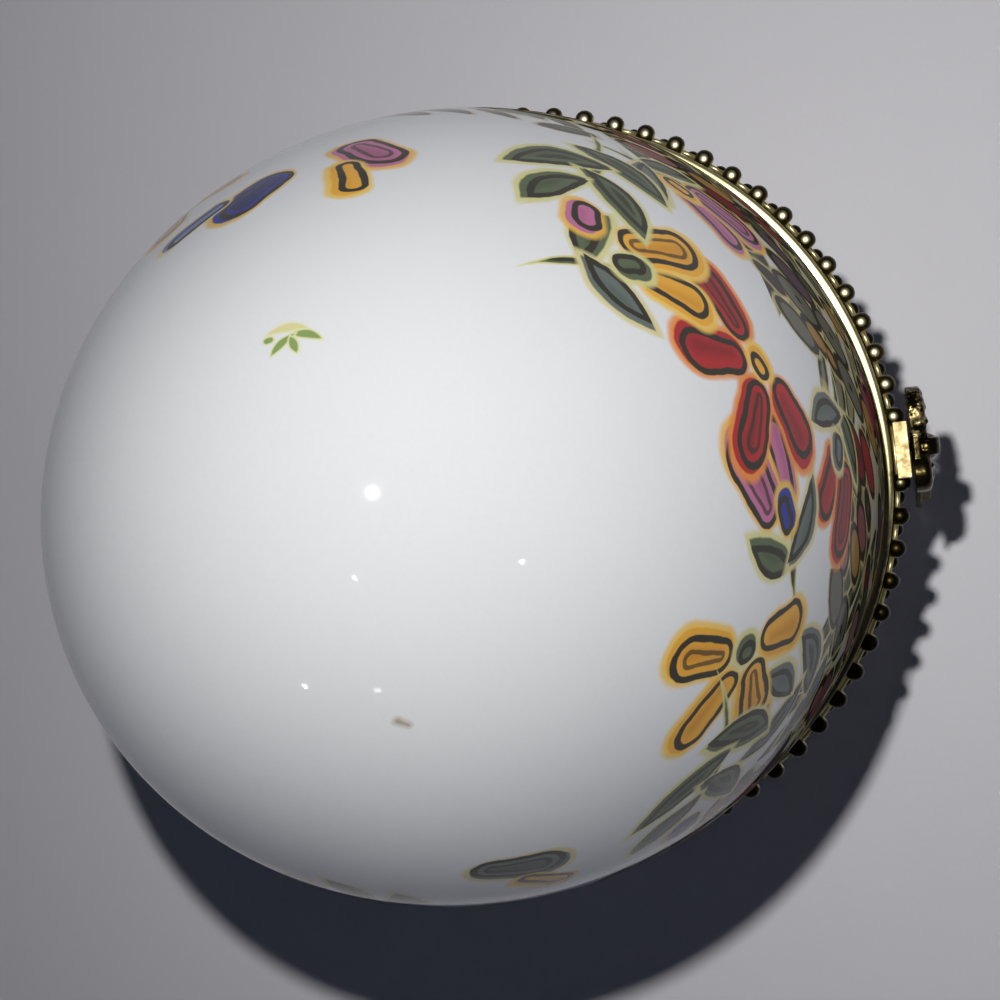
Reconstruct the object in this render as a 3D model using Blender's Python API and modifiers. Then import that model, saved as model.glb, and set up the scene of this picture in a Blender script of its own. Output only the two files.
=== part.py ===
"""A hinged porcelain egg box with beaded brass mounts, standing shut on its foot.

Metres, +Z up. The origin is the middle of the flat foot, the clasp faces -Y and the hinge
is at +Y. The lid's pieces hang from an empty on the hinge axis.
"""

import math

import bmesh
import bpy
from mathutils import Matrix, Vector

# Porcelain egg, sizes outside the mounts
RIM_RADIUS = 0.0330
WALL = 0.0030
BASE_HEIGHT = 0.0470
FLOOR = 0.0042
TIP_BELOW_FOOT = 0.0062
FOOT_CHAMFER = 0.0006
LID_HEIGHT = 0.0573
CROWN_WALL = 0.0028
LID_FULLNESS = 2.03
BASE_FULLNESS = 2.30
BOWL_FULLNESS = 2.60

# Brass collars: a channel round each porcelain edge, with a rolled flange
CLEARANCE = 0.0003
PARTING_GAP = 0.0003
SEAT_STEP = 0.0010
BAND = 0.00095
WEB = 0.0008
LIP = 0.0006
LIP_HEIGHT = 0.0020
FLANGE_WIDTH = 0.0005
FLANGE_THICKNESS = 0.0007

# Beaded wires: balls outside a thin core, one wire round each collar
BEAD_COUNT = 75
LID_BEAD_RADIUS = 0.00086
BASE_BEAD_RADIUS = 0.0007
BEAD_INSET = 0.0002
CORE_RADIUS = 0.0002
CORE_INSET = 0.00025
HINGE_BEADS_LEFT_OUT = 5

# Rear hinge
BARREL_RADIUS = 0.0015
PIN_RADIUS = 0.0006
PIN_HEAD_RADIUS = 0.0011
PIN_HEAD_LENGTH = 0.0005
PIN_HEAD_FLAT = 0.0008
LID_KNUCKLE_LENGTH = 0.0044
LEAF_HEIGHT = 0.0018
LEAF_WALL = 0.0005

# Front clasp: a cast bow on a lug, its slotted tongue over a ball stud
LUG_LENGTH = 0.0049
LUG_DEPTH = 0.0012
LUG_CHAMFER = 0.00012
TONGUE_WIDTH = 0.0044
TONGUE_DROP = 0.0028
TONGUE_THICKNESS = 0.0006
STUD_BALL_RADIUS = 0.0008
STUD_NECK_RADIUS = 0.00045
STUD_PAD_DEPTH = 0.0007
LOOP_RIGHT = 0.0054
LOOP_LEFT = 0.0041
LOOP_RISE = 0.0025
LOOP_ROUNDNESS = 0.75
RIBBON_RADIUS = 0.00055
BACKING = 0.0008
LAYER = 0.00015
TAIL_RIGHT = 0.0044
TAIL_LEFT = 0.0056
TAIL_DROP = 0.0048
TAIL_WIDTH = 0.0019
TAIL_NOTCH = 0.0009
TAIL_THICKNESS = 0.0013
KNOT_RADIUS = 0.00115
KNOT_STANDOUT = 0.0023

# Roundness
TURNED_STEPS = 48
DOME_POINTS = 12
HOLLOW_POINTS = 9
BEAD_SIDES = 6
BEAD_BARREL = 0.42
BEAD_END = 0.95
PIN_STEPS = 16
LOOP_POINTS = 14
ROD_SIDES = 16
NECK_SIDES = 10
BALL_SEGMENTS = 12
BALL_RINGS = 8
SMOOTH_BELOW = math.radians(40)

# Worked out from the sizes above; radii from the egg's axis, heights from the parting plane
seat_radius = RIM_RADIUS - SEAT_STEP
bore_radius = RIM_RADIUS - WALL
band_inner = seat_radius + CLEARANCE
band_outer = band_inner + BAND
flange_outer = band_outer + FLANGE_WIDTH
lid_ring = band_outer + CLEARANCE + LID_BEAD_RADIUS
base_ring = band_outer + CLEARANCE + BASE_BEAD_RADIUS
collar_face = PARTING_GAP / 2
channel_floor = collar_face + WEB
edge_height = channel_floor + CLEARANCE
bead_level = collar_face + BEAD_INSET + LID_BEAD_RADIUS
flange_bottom = bead_level + LID_BEAD_RADIUS + CLEARANCE
flange_top = flange_bottom + FLANGE_THICKNESS
shoulder_height = flange_top + CLEARANCE
bead_step = 2 * math.pi / BEAD_COUNT
bead_pitch = lid_ring * bead_step
saddle_radius = band_outer + CLEARANCE
hinge_y = saddle_radius + LEAF_WALL + CLEARANCE + BARREL_RADIUS
barrel_length = HINGE_BEADS_LEFT_OUT * bead_pitch - 2 * CLEARANCE
lug_inner = flange_outer + CLEARANCE
lug_outer = lug_inner + LUG_DEPTH
past_core = CORE_RADIUS + CLEARANCE - CORE_INSET
neck_length = 2 * (bead_pitch - LID_BEAD_RADIUS - CLEARANCE)
bow_back = lug_outer + CLEARANCE
tongue_front = bow_back + TONGUE_THICKNESS


def clear_scene():
    for obj in list(bpy.data.objects):
        bpy.data.objects.remove(obj, do_unlink=True)


def new_collection(name):
    made = bpy.data.collections.new(name)
    bpy.context.scene.collection.children.link(made)
    return made


def new_material(name, colour, metallic, roughness):
    made = bpy.data.materials.new(name)
    made.use_nodes = True
    shader = made.node_tree.nodes["Principled BSDF"]
    shader.inputs["Base Color"].default_value = (*colour, 1)
    shader.inputs["Metallic"].default_value = metallic
    shader.inputs["Roughness"].default_value = roughness
    return made


clear_scene()
parts = new_collection("egg_trinket_box")
cutters = new_collection("cutters")
cutters.hide_render = True

glazed_porcelain = new_material("glazed_porcelain", (0.80, 0.80, 0.78), 0.0, 0.12)
polished_brass = new_material("polished_brass", (0.83, 0.62, 0.25), 1.0, 0.18)
cast_brass = new_material("cast_brass", (0.66, 0.52, 0.24), 1.0, 0.34)
steel_wire = new_material("steel_wire", (0.62, 0.60, 0.56), 1.0, 0.25)

lid_axis = bpy.data.objects.new("lid_hinge_axis", None)
lid_axis.location = (0, hinge_y, BASE_HEIGHT)
parts.objects.link(lid_axis)
bpy.context.view_layer.update()


def new_object(name, mesh, collection=parts, origin=(0, 0, BASE_HEIGHT)):
    """An object whose mesh is drawn about origin. A cutter shows as wire."""
    made = bpy.data.objects.new(name, mesh)
    made.location = origin
    collection.objects.link(made)
    if collection == cutters:
        made.hide_render = True
        made.display_type = "WIRE"
    return made


def baked(obj):
    """The object's mesh with its modifiers or its curve worked out, and loose caps welded."""
    bpy.context.view_layer.update()
    graph = bpy.context.evaluated_depsgraph_get()
    mesh = bpy.data.meshes.new_from_object(obj.evaluated_get(graph))
    cage = bmesh.new()
    cage.from_mesh(mesh)
    bmesh.ops.remove_doubles(cage, verts=cage.verts, dist=1e-6)
    bmesh.ops.recalc_face_normals(cage, faces=cage.faces)
    cage.to_mesh(mesh)
    cage.free()
    return mesh


def settle(obj):
    """Replaces the object by a plain mesh of what it evaluates to."""
    mesh = baked(obj)
    if obj.type == "MESH":
        obj.modifiers.clear()
        obj.data = mesh
        return obj
    name, matrix, collection = obj.name, obj.matrix_world.copy(), obj.users_collection[0]
    bpy.data.objects.remove(obj, do_unlink=True)
    made = bpy.data.objects.new(name, mesh)
    made.matrix_world = matrix
    collection.objects.link(made)
    return made


def finished(obj, material, on_lid=False):
    """Gives a piece its material and smooth shading, and hangs the lid's pieces on the hinge."""
    obj.data.materials.clear()
    obj.data.materials.append(material)
    obj.data.shade_smooth()
    obj.data.set_sharp_from_angle(angle=SMOOTH_BELOW)
    if on_lid:
        obj.location = obj.location - lid_axis.location
        obj.parent = lid_axis
    return obj


def combine(obj, other, operation):
    """A Boolean of two mesh objects, worked out at once. The other one is used up."""
    modifier = obj.modifiers.new(operation.lower(), "BOOLEAN")
    modifier.operation = operation
    modifier.solver = "EXACT"
    modifier.object = other
    settle(obj)
    bpy.data.objects.remove(other, do_unlink=True)
    return obj


def turned(name, profile, collection=parts, origin=(0, 0, BASE_HEIGHT), steps=TURNED_STEPS):
    """A solid turned about Z from (radius, height) points. A profile that doesn't start on the
    axis is a closed ring section."""
    closed = profile[0][0] > 0
    area = sum(
        a[0] * b[1] - b[0] * a[1] for a, b in zip(profile, profile[1:] + profile[:1])
    )
    points = profile[::-1] if area > 0 else profile
    mesh = bpy.data.meshes.new(name)
    edges = [(i, i + 1) for i in range(len(points) - 1)]
    if closed:
        edges.append((len(points) - 1, 0))
    mesh.from_pydata([(radius, 0, height) for radius, height in points], edges, [])
    made = new_object(name, mesh, collection, origin)
    screw = made.modifiers.new("turn", "SCREW")
    screw.steps = screw.render_steps = steps
    screw.use_merge_vertices = True
    screw.merge_threshold = 1e-6
    return settle(made)


def box(name, low, high, collection=cutters, chamfer=0):
    """A box between two corners, its edges chamfered if asked."""
    mesh = bpy.data.meshes.new(name)
    cage = bmesh.new()
    size = Vector(high) - Vector(low)
    place = Matrix.Translation((Vector(high) + Vector(low)) / 2) @ Matrix.Diagonal((*size, 1))
    bmesh.ops.create_cube(cage, size=1, matrix=place)
    cage.to_mesh(mesh)
    cage.free()
    made = new_object(name, mesh, collection)
    if chamfer:
        bevel = made.modifiers.new("chamfer", "BEVEL")
        bevel.width = chamfer
        bevel.segments = 1
    return settle(made)


def rod(name, radius, start, end, sides=ROD_SIDES):
    """A round rod between two points on a line along X or Y."""
    start, end = Vector(start), Vector(end)
    along = end - start
    turn = along.to_track_quat("Z", "Y").to_matrix().to_4x4()
    mesh = bpy.data.meshes.new(name)
    cage = bmesh.new()
    bmesh.ops.create_cone(
        cage, cap_ends=True, segments=sides, radius1=radius, radius2=radius,
        depth=along.length, matrix=Matrix.Translation((start + end) / 2) @ turn,
    )
    cage.to_mesh(mesh)
    cage.free()
    return new_object(name, mesh, cutters)


def ball(name, half_axes, middle):
    """A ball or egg of three half axes about a point."""
    mesh = bpy.data.meshes.new(name)
    cage = bmesh.new()
    bmesh.ops.create_uvsphere(
        cage, u_segments=BALL_SEGMENTS, v_segments=BALL_RINGS, radius=1,
        matrix=Matrix.Translation(middle) @ Matrix.Diagonal((*half_axes, 1)),
    )
    cage.to_mesh(mesh)
    cage.free()
    return new_object(name, mesh, cutters)


def dome(radius, height, fullness, count, lowest=0.0):
    """Points of a quarter superellipse from the top down to the height lowest."""
    points = []
    end = math.asin(min(1, (lowest / height) ** (fullness / 2)))
    for i in range(count):
        turn = math.pi / 2 + (end - math.pi / 2) * i / (count - 1)
        points.append(
            (
                radius * max(0, math.cos(turn)) ** (2 / fullness) if i else 0.0,
                height * math.sin(turn) ** (2 / fullness),
            )
        )
    return points


def lid_profile():
    """Down the outside of the dome, round the stepped edge, and up the inside."""
    above = bead_level
    outside = [
        (radius, height + above)
        for radius, height in dome(
            RIM_RADIUS, LID_HEIGHT - above, LID_FULLNESS, DOME_POINTS, shoulder_height - above
        )
    ]
    edge = [(seat_radius, shoulder_height), (seat_radius, edge_height), (bore_radius, edge_height)]
    inside = dome(bore_radius, LID_HEIGHT - CROWN_WALL - edge_height, LID_FULLNESS, HOLLOW_POINTS)
    inside = [(radius, height + edge_height) for radius, height in inside]
    return outside + edge + inside[-2::-1]


def base_profile():
    """Up the inside of the bowl, round the stepped edge, and down the outside to the foot."""
    inside = dome(bore_radius, BASE_HEIGHT - FLOOR - edge_height, BOWL_FULLNESS, HOLLOW_POINTS)
    inside = [(radius, -height - edge_height) for radius, height in inside]
    edge = [(seat_radius, -edge_height), (seat_radius, -shoulder_height)]
    depth = BASE_HEIGHT + TIP_BELOW_FOOT - bead_level
    top = (shoulder_height - bead_level) / depth
    bottom = (BASE_HEIGHT - bead_level) / depth
    first, last = (math.asin(level ** (BASE_FULLNESS / 2)) for level in (top, bottom))
    outside = []
    for i in range(DOME_POINTS):
        turn = first + (last - first) * i / (DOME_POINTS - 1)
        radius = RIM_RADIUS * math.cos(turn) ** (2 / BASE_FULLNESS)
        height = -bead_level - depth * math.sin(turn) ** (2 / BASE_FULLNESS)
        outside.append((radius, height))
    foot_radius = outside[-1][0]
    outside[-1] = (foot_radius + FOOT_CHAMFER / 2, -BASE_HEIGHT + FOOT_CHAMFER)
    foot = [(foot_radius - FOOT_CHAMFER / 2, -BASE_HEIGHT), (0.0, -BASE_HEIGHT)]
    return inside[:-1] + [(bore_radius, -edge_height)] + edge + outside + foot


def collar_profile(side):
    """The collar's section: an open channel for the porcelain, and a rolled flange outside."""
    lip_outer = bore_radius - CLEARANCE
    lip_inner = lip_outer - LIP
    roll = FLANGE_THICKNESS / 2
    section = [
        (lip_inner, collar_face),
        (band_outer, collar_face),
        (band_outer, flange_bottom),
        (flange_outer - roll / 2, flange_bottom),
        (flange_outer, flange_bottom + roll / 2),
        (flange_outer, flange_top - roll / 2),
        (flange_outer - roll / 2, flange_top),
        (band_inner, flange_top),
        (band_inner, channel_floor),
        (lip_outer, channel_floor),
        (lip_outer, collar_face + LIP_HEIGHT),
        (lip_inner, collar_face + LIP_HEIGHT),
    ]
    return [(radius, side * height) for radius, height in section]


def lofted(name, sections):
    """A closed tube through round sections that stand across a ring about Z. A section is its
    turn from the clasp, the ring's radius, its height and its own radius."""
    cage = bmesh.new()
    loops = []
    for turn, ring, height, radius in sections:
        outward = Vector((math.sin(turn), -math.cos(turn), 0))
        loop = []
        for k in range(BEAD_SIDES):
            around = 2 * math.pi * k / BEAD_SIDES
            reach = ring + radius * math.cos(around)
            rise = Vector((0, 0, height + radius * math.sin(around)))
            loop.append(cage.verts.new(outward * reach + rise))
        loops.append(loop)
    for first, second in zip(loops, loops[1:]):
        for k in range(BEAD_SIDES):
            cage.faces.new((first[k - 1], first[k], second[k], second[k - 1]))
    cage.faces.new(loops[0])
    cage.faces.new(loops[-1])
    bmesh.ops.recalc_face_normals(cage, faces=cage.faces)
    mesh = bpy.data.meshes.new(name)
    cage.to_mesh(mesh)
    cage.free()
    return new_object(name, mesh)


def bead_wire(name, side, ring, bead_radius, stagger, left_out):
    """A wire from one side of the hinge round to the other, swelling out into a bead at each
    place. left_out holds the places, counted from the clasp, that have no bead."""
    half = (BEAD_COUNT - HINGE_BEADS_LEFT_OUT) / 2
    places = [
        i + stagger
        for i in range(-BEAD_COUNT, BEAD_COUNT + 1)
        if abs(i + stagger) + 0.5 <= half and i + stagger not in left_out
    ]
    core = ring - CORE_INSET
    swell = (
        (-BEAD_END, core, CORE_RADIUS), (-BEAD_BARREL, ring, bead_radius),
        (BEAD_BARREL, ring, bead_radius), (BEAD_END, core, CORE_RADIUS),
    )
    height = side * bead_level
    sections = [(-half * bead_step, core, height, CORE_RADIUS)]
    for place in places:
        for share, distance, radius in swell:
            turn = place * bead_step + share * bead_radius / ring
            sections.append((turn, distance, height, radius))
    sections.append((half * bead_step, core, height, CORE_RADIUS))
    return lofted(name, sections)


def leaf(name, side, spans, other_spans):
    """A hinge leaf: a saddle against the collar that carries this side's knuckles, with room
    for the other side's, and the pin's bore."""
    half = barrel_length / 2 - LAYER
    low, high = sorted((side * collar_face, side * (collar_face + LEAF_HEIGHT)))
    made = box(name, (-half, bore_radius, low), (half, hinge_y, high), parts)
    for number, (start, end) in enumerate(spans):
        knuckle = rod(
            f"{name}_knuckle_{number}", BARREL_RADIUS, (start, hinge_y, 0), (end, hinge_y, 0)
        )
        combine(made, knuckle, "UNION")
    depth = 2 * LEAF_HEIGHT
    inside = turned(
        f"{name}_saddle",
        [(0, depth), (saddle_radius, depth), (saddle_radius, -depth), (0, -depth)], cutters,
    )
    combine(made, inside, "DIFFERENCE")
    for number, (start, end) in enumerate(other_spans):
        room = rod(
            f"{name}_room_{number}", BARREL_RADIUS + CLEARANCE,
            (start - CLEARANCE, hinge_y, 0), (end + CLEARANCE, hinge_y, 0),
        )
        combine(made, room, "DIFFERENCE")
    bore = rod(
        f"{name}_bore", PIN_RADIUS + CLEARANCE,
        (-half - BARREL_RADIUS, hinge_y, 0), (half + BARREL_RADIUS, hinge_y, 0),
    )
    return combine(made, bore, "DIFFERENCE")


def hinge_pin():
    """A wire pin with a rounded head peened on each end."""
    half = barrel_length / 2 + CLEARANCE
    reach = half + PIN_HEAD_LENGTH
    profile = [
        (0.0, reach),
        (PIN_HEAD_FLAT, reach),
        (PIN_HEAD_RADIUS, reach - PIN_HEAD_LENGTH / 2),
        (PIN_HEAD_RADIUS, half),
        (PIN_RADIUS, half),
    ]
    profile += [(radius, -height) for radius, height in profile[::-1]]
    made = turned("hinge_pin", profile, steps=PIN_STEPS, origin=(0, hinge_y, BASE_HEIGHT))
    made.data.transform(Matrix.Rotation(math.pi / 2, 4, "Y"))
    return made


def clasp_lug():
    """A pad over the lid's beaded wire, and a neck that comes down between two beads."""
    made = box(
        "clasp_lug",
        (-LUG_LENGTH / 2, -lug_outer, flange_bottom),
        (LUG_LENGTH / 2, -lug_inner, flange_top),
        parts, chamfer=LUG_CHAMFER,
    )
    neck = box(
        "clasp_lug_neck",
        (-neck_length / 2, -lug_outer + LUG_CHAMFER, collar_face + BEAD_INSET),
        (neck_length / 2, -lid_ring - past_core, flange_bottom + FLANGE_THICKNESS / 2),
    )
    return combine(made, neck, "UNION")


def flat_solid(name, outline, thickness, back):
    """A flat outline in the X and Z plane, from its back towards -Y."""
    curve = bpy.data.curves.new(name, "CURVE")
    curve.dimensions = "2D"
    curve.fill_mode = "BOTH"
    curve.extrude = thickness / 2
    spline = curve.splines.new("POLY")
    spline.points.add(len(outline) - 1)
    for point, (x, z) in zip(spline.points, outline):
        point.co = (x, z, 0, 1)
    spline.use_cyclic_u = True
    made = bpy.data.objects.new(name, curve)
    upright = Matrix.Rotation(math.pi / 2, 4, "X")
    made.matrix_world = Matrix.Translation((0, -back - thickness / 2, BASE_HEIGHT)) @ upright
    cutters.objects.link(made)
    made = settle(made)
    made.data.transform(made.matrix_world)
    made.data.transform(Matrix.Translation((0, 0, -BASE_HEIGHT)))
    made.matrix_world = Matrix.Translation((0, 0, BASE_HEIGHT))
    return made


def loop_outline(side, reach):
    """The middle line of a loop's ribbon, a drop shape from the knot out to reach and back."""
    reach -= RIBBON_RADIUS
    rise = LOOP_RISE - RIBBON_RADIUS
    points = []
    for i in range(LOOP_POINTS):
        turn = 2 * math.pi * i / LOOP_POINTS
        swell = LOOP_ROUNDNESS + (1 - LOOP_ROUNDNESS) * math.sin(turn / 2)
        points.append(
            (side * reach * (1 - math.cos(turn)) / 2, bead_level + rise * math.sin(turn) * swell)
        )
    return points


def ribbon_loop(name, outline):
    """The rolled ribbon edge round a loop."""
    curve = bpy.data.curves.new(name, "CURVE")
    curve.dimensions = "3D"
    curve.bevel_depth = RIBBON_RADIUS
    curve.bevel_resolution = 1
    spline = curve.splines.new("POLY")
    spline.points.add(len(outline) - 1)
    for point, (x, z) in zip(spline.points, outline):
        point.co = (x, -bow_back - 3 * LAYER - RIBBON_RADIUS, z, 1)
    spline.use_cyclic_u = True
    return settle(new_object(name, curve, cutters))


def tail_outline(side, reach):
    """A ribbon tail that falls from the knot past the stud and ends in a notch."""
    low = bead_level - TAIL_DROP
    past_stud = STUD_BALL_RADIUS + 2 * CLEARANCE
    return [
        (side * x, z)
        for x, z in (
            (KNOT_RADIUS / 4, bead_level),
            (past_stud, -bead_level + STUD_BALL_RADIUS),
            (past_stud, -bead_level),
            (reach - TAIL_WIDTH, low),
            (reach - TAIL_WIDTH / 2, low + TAIL_NOTCH),
            (reach, low + TAIL_NOTCH / 2),
            (past_stud + TAIL_WIDTH / 2, bead_level),
        )
    ]


def clasp_bow():
    """The cast bow: two loops, a knot, two tails, and a slotted tongue behind them."""
    half = TONGUE_WIDTH / 2
    low = -TONGUE_DROP
    high = flange_top
    slot = STUD_NECK_RADIUS + CLEARANCE
    slot_end = -bead_level + slot
    outline = [
        (half, high), (-half, high), (-half, low), (-slot, low), (-slot, slot_end),
        (slot, slot_end), (slot, low), (half, low),
    ]
    made = flat_solid("clasp_bow", outline, TONGUE_THICKNESS, bow_back)
    cutters.objects.unlink(made)
    parts.objects.link(made)
    for side, reach, tail_reach in ((1, LOOP_RIGHT, TAIL_RIGHT), (-1, LOOP_LEFT, TAIL_LEFT)):
        loop = loop_outline(side, reach)
        combine(made, flat_solid("bow_backing", loop, BACKING, bow_back + LAYER), "UNION")
        combine(made, ribbon_loop("bow_ribbon", loop), "UNION")
        tail = tail_outline(side, tail_reach)
        combine(made, flat_solid("bow_tail", tail, TAIL_THICKNESS, bow_back + 2 * LAYER), "UNION")
    knot_depth = KNOT_STANDOUT / 2
    knot = ball(
        "bow_knot", (KNOT_RADIUS, knot_depth, KNOT_RADIUS),
        (0, -bow_back - knot_depth, bead_level),
    )
    return combine(made, knot, "UNION")


def catch_stud():
    """A ball on a neck, standing from a pad on the base's beaded wire."""
    pad_inner = base_ring + past_core
    pad_outer = pad_inner + STUD_PAD_DEPTH
    ball_y = tongue_front + CLEARANCE + STUD_BALL_RADIUS
    made = box(
        "catch_stud",
        (-neck_length / 2, -pad_outer, -bead_level - BASE_BEAD_RADIUS),
        (neck_length / 2, -pad_inner, -bead_level + BASE_BEAD_RADIUS),
        parts, chamfer=LUG_CHAMFER,
    )
    neck = rod(
        "stud_neck", STUD_NECK_RADIUS,
        (0, -pad_outer + STUD_PAD_DEPTH / 2, -bead_level), (0, -ball_y, -bead_level), NECK_SIDES,
    )
    combine(made, neck, "UNION")
    head = ball("stud_ball", [STUD_BALL_RADIUS] * 3, (0, -ball_y, -bead_level))
    return combine(made, head, "UNION")


finished(turned("lid_shell", lid_profile()), glazed_porcelain, on_lid=True)
finished(turned("base_shell", base_profile()), glazed_porcelain)
finished(turned("lid_collar", collar_profile(1)), polished_brass, on_lid=True)
finished(turned("base_collar", collar_profile(-1)), polished_brass)
lid_wire = bead_wire("lid_bead_wire", 1, lid_ring, LID_BEAD_RADIUS, 0, (0,))
finished(lid_wire, polished_brass, on_lid=True)
base_wire = bead_wire("base_bead_wire", -1, base_ring, BASE_BEAD_RADIUS, 0.5, (-0.5, 0.5))
finished(base_wire, polished_brass)

half_barrel = barrel_length / 2
half_lid_knuckle = LID_KNUCKLE_LENGTH / 2
lid_spans = [(-half_lid_knuckle, half_lid_knuckle)]
base_spans = [
    (-half_barrel, -half_lid_knuckle - CLEARANCE),
    (half_lid_knuckle + CLEARANCE, half_barrel),
]
finished(leaf("lid_hinge_leaf", 1, lid_spans, base_spans), polished_brass, on_lid=True)
finished(leaf("base_hinge_leaf", -1, base_spans, lid_spans), polished_brass)
finished(hinge_pin(), steel_wire)

finished(clasp_lug(), cast_brass, on_lid=True)
finished(clasp_bow(), cast_brass, on_lid=True)
finished(catch_stud(), cast_brass)
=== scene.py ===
"""The looks of a hinged porcelain egg box with beaded brass mounts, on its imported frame.

Shapes are drawn in millimetres, with heights from the parting plane between lid and base, and
placed in metres. The clasp faces -Y and the hinge is at +Y.
"""

import math

import bmesh
import bpy
import numpy as np
from mathutils import Matrix, Vector, noise

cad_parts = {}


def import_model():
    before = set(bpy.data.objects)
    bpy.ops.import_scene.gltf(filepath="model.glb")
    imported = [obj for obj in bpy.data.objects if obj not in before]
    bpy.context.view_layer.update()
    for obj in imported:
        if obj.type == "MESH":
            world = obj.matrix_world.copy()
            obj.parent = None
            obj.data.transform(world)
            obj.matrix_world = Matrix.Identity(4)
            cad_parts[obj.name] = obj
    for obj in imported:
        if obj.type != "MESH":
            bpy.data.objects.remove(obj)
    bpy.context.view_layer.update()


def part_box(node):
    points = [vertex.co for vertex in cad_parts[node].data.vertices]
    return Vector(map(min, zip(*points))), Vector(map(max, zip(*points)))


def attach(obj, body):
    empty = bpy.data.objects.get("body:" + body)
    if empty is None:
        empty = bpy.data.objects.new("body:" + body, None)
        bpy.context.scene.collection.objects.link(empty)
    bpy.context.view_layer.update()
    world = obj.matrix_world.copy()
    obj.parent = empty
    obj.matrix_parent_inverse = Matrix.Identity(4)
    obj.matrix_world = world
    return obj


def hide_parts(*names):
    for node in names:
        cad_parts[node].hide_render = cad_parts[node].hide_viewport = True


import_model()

MM = 0.001


def place_box(node):
    """A node's two corners in mm, with heights from the parting plane."""
    return [(corner - Vector((0, 0, parting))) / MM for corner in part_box(node)]


# Places read from the frame
parting = (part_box("lid_collar")[0].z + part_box("base_collar")[1].z) / 2
lid_top = place_box("lid_shell")[1].z
foot_depth = parting / MM
flange_outer, _, flange_top = place_box("lid_collar")[1]
pin_low, pin_high = place_box("hinge_pin")
hinge_y = (pin_low.y + pin_high.y) / 2
pin_half = pin_high.x
lug_low, lug_high = place_box("clasp_lug")
bow_low, bow_high = place_box("clasp_bow")
stud_low = place_box("catch_stud")[0]

# Porcelain
RIM_RADIUS = 33.0
BORE_RADIUS = 30.0
SEAT_RADIUS = 32.0
EDGE_HEIGHT = 1.25
FLOOR = 4.2
CROWN_WALL = 2.8
TIP_BELOW_FOOT = 6.2
LID_FULLNESS = 2.03
BASE_FULLNESS = 2.30
BOWL_FULLNESS = 2.60

# Mounts
GAP = 0.3
BAND_OUTER = 33.25
LIP = 0.6
LIP_HEIGHT = 2.0
WEB = 0.8
FLANGE_THICKNESS = 0.7
BEAD_COUNT = 75
LID_BEAD_RADIUS = 0.86
BASE_BEAD_RADIUS = 0.7
CORE_RADIUS = 0.2
CORE_INSET = 0.25
HINGE_BEADS_LEFT_OUT = 5
shoulder = flange_top + GAP
collar_face = GAP / 2
bead_level = flange_top - FLANGE_THICKNESS - GAP - LID_BEAD_RADIUS
lid_ring = BAND_OUTER + GAP + LID_BEAD_RADIUS
base_ring = BAND_OUTER + GAP + BASE_BEAD_RADIUS
past_core = CORE_RADIUS + GAP - CORE_INSET
neck_half = 2 * math.pi * lid_ring / BEAD_COUNT - LID_BEAD_RADIUS - GAP

# Hinge and clasp
BARREL_RADIUS = 1.5
PIN_RADIUS = 0.6
PIN_HEAD_RADIUS = 1.1
PIN_HEAD_LENGTH = 0.5
LID_KNUCKLE_HALF = 2.2
LEAF_HEIGHT = 1.8
TONGUE_THICKNESS = 0.6
TONGUE_HALF = 2.2
TONGUE_DROP = 2.8
LOOP_LEFT = 3.9
LOOP_DEPTH = 1.55
LOOP_SET_BACK = 0.15
TAIL_RIGHT = 4.4
TAIL_DROP = 4.8
TAIL_WIDTH = 1.9
TAIL_NOTCH = 0.9
KNOT_RADIUS = 1.15
STUD_BALL = 0.8
STUD_NECK = 0.45
STUD_PAD = 0.7
leaf_half = pin_half - PIN_HEAD_LENGTH - GAP
bow_back = -bow_high.y
knot_standout = -bow_low.y - bow_back
loop_right = bow_high.x
tail_left = -bow_low.x

# The view, turned about the middle of the lid's beads
CAMERA_AZIMUTH = math.radians(-81.42)
CAMERA_ELEVATION = math.radians(75.681)
CAMERA_ROLL = math.radians(-105.34)
CAMERA_DISTANCE = 121.26
CAMERA_YAW = math.radians(0.668)
CAMERA_PITCH = math.radians(0.306)
CAMERA_LENS = 46.8
CAMERA_HEIGHT = 1.25

# The light
LAMP_PLACE = (19.1, -22.5, 116.1)
LAMP_AIM = (23.0, -70.0, -47.0)
LAMP_SIZE = 3.0
LAMP_STRENGTH = 11.2
ROOM_LAMPS = ((-187, -100, 932), (-205, -745, 535), (-625, 274, 649), (-695, -44, 635))
ROOM_LAMP_SIZE = 26.0
ROOM_LAMP_STRENGTH = 0.08
SKY_TOP = (0.014, 0.018, 0.030)
SKY_SIDE = (0.038, 0.048, 0.078)
HORIZON = (0.026, 0.032, 0.050)
FLOOR_COLOUR = (0.392, 0.388, 0.412)
FLOOR_GRAIN = (0.333, 0.328, 0.355)


def linear(code):
    """A six-digit sRGB colour as linear red, green and blue."""
    shares = [int(code[i:i + 2], 16) / 255 for i in (0, 2, 4)]
    return tuple(s / 12.92 if s <= 0.04045 else ((s + 0.055) / 1.055) ** 2.4 for s in shares)


# Meshes, drawn about the parting plane

def scratch(name, data):
    """An object that isn't a piece, or not yet."""
    made = bpy.data.objects.new(name, data)
    bpy.context.scene.collection.objects.link(made)
    return made


def adopt(piece, body, node):
    """Makes a scratch object a piece of its own, at the parting plane's height."""
    piece.data.transform(Matrix.Translation((0, 0, parting)))
    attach(piece, body)
    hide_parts(node)
    return piece


def solid(cage, name):
    mesh = bpy.data.meshes.new(name)
    cage.to_mesh(mesh)
    cage.free()
    return scratch(name, mesh)


def skin(cage, rings):
    """Faces between rings of points, with one over each end."""
    count = len(rings[0])
    for first, second in zip(rings, rings[1:]):
        for k in range(count):
            n = (k + 1) % count
            cage.faces.new((first[k], first[n], second[n], second[k]))
    cage.faces.new(rings[0])
    cage.faces.new(rings[-1])
    bmesh.ops.recalc_face_normals(cage, faces=cage.faces)


FILLET_STEPS = 5


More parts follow.
